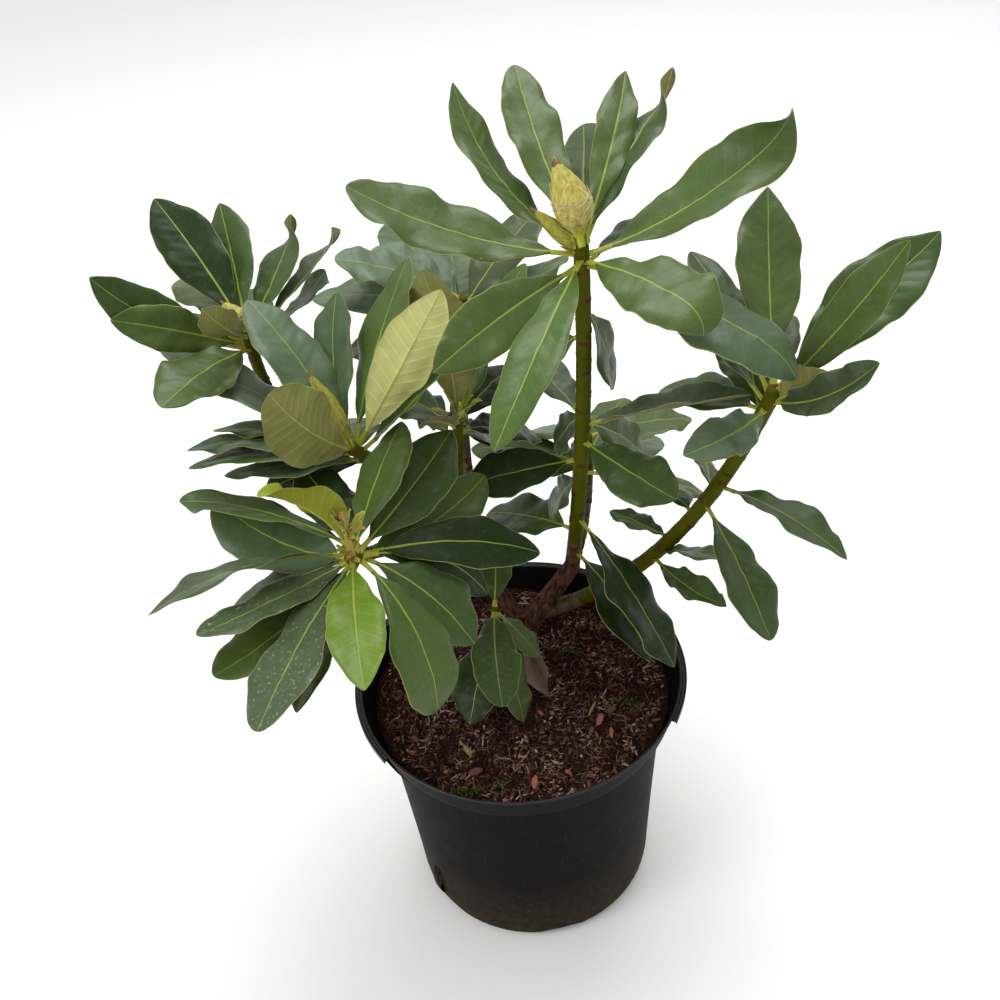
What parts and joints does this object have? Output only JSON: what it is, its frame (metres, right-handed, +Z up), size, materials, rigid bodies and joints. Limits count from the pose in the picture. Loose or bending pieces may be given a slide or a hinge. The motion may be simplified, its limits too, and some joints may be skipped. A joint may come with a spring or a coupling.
{
  "type": "potted rhododendron",
  "caption": "Young rhododendron with whorls of long leathery leaves and tight buds on bare stems, standing in a round black nursery pot filled with soil.",
  "frame": {"origin": "centre of the pot's flat underside, on the ground", "axes": "+Z up, front of the plant towards -Y, +X to the right as seen from the front"},
  "size_m": [0.4809, 0.3672, 0.5592],
  "materials": {
    "pot_plastic": "satin moulded plastic, lightly scuffed",
    "soil": "damp fibrous potting soil",
    "bark": "rough brown bark",
    "green_wood": "smooth olive-green young wood",
    "foliage": "leathery, satin above and matt beneath"
  },
  "bodies": {
    "root": {"pot": "pot_plastic", "potting_soil": "soil", "trunk": "bark", "main_stem": "green_wood", "hind_stem": "green_wood", "right_stem_lower": "green_wood", "right_stem_upper": "green_wood", "left_stem": "green_wood", "far_left_stem": "green_wood", "front_left_stem": "green_wood", "middle_stem": "green_wood", "back_stem": "green_wood", "low_shoot_stem": "green_wood", "top_whorl": "foliage", "main_stem_leaves": "foliage", "hind_leaves": "foliage", "right_whorl": "foliage", "right_stem_leaves": "foliage", "far_left_whorl": "foliage", "left_whorl": "foliage", "front_left_whorl": "foliage", "middle_whorl": "foliage", "back_whorl": "foliage", "low_whorl": "foliage"}
  },
  "joints": []
}
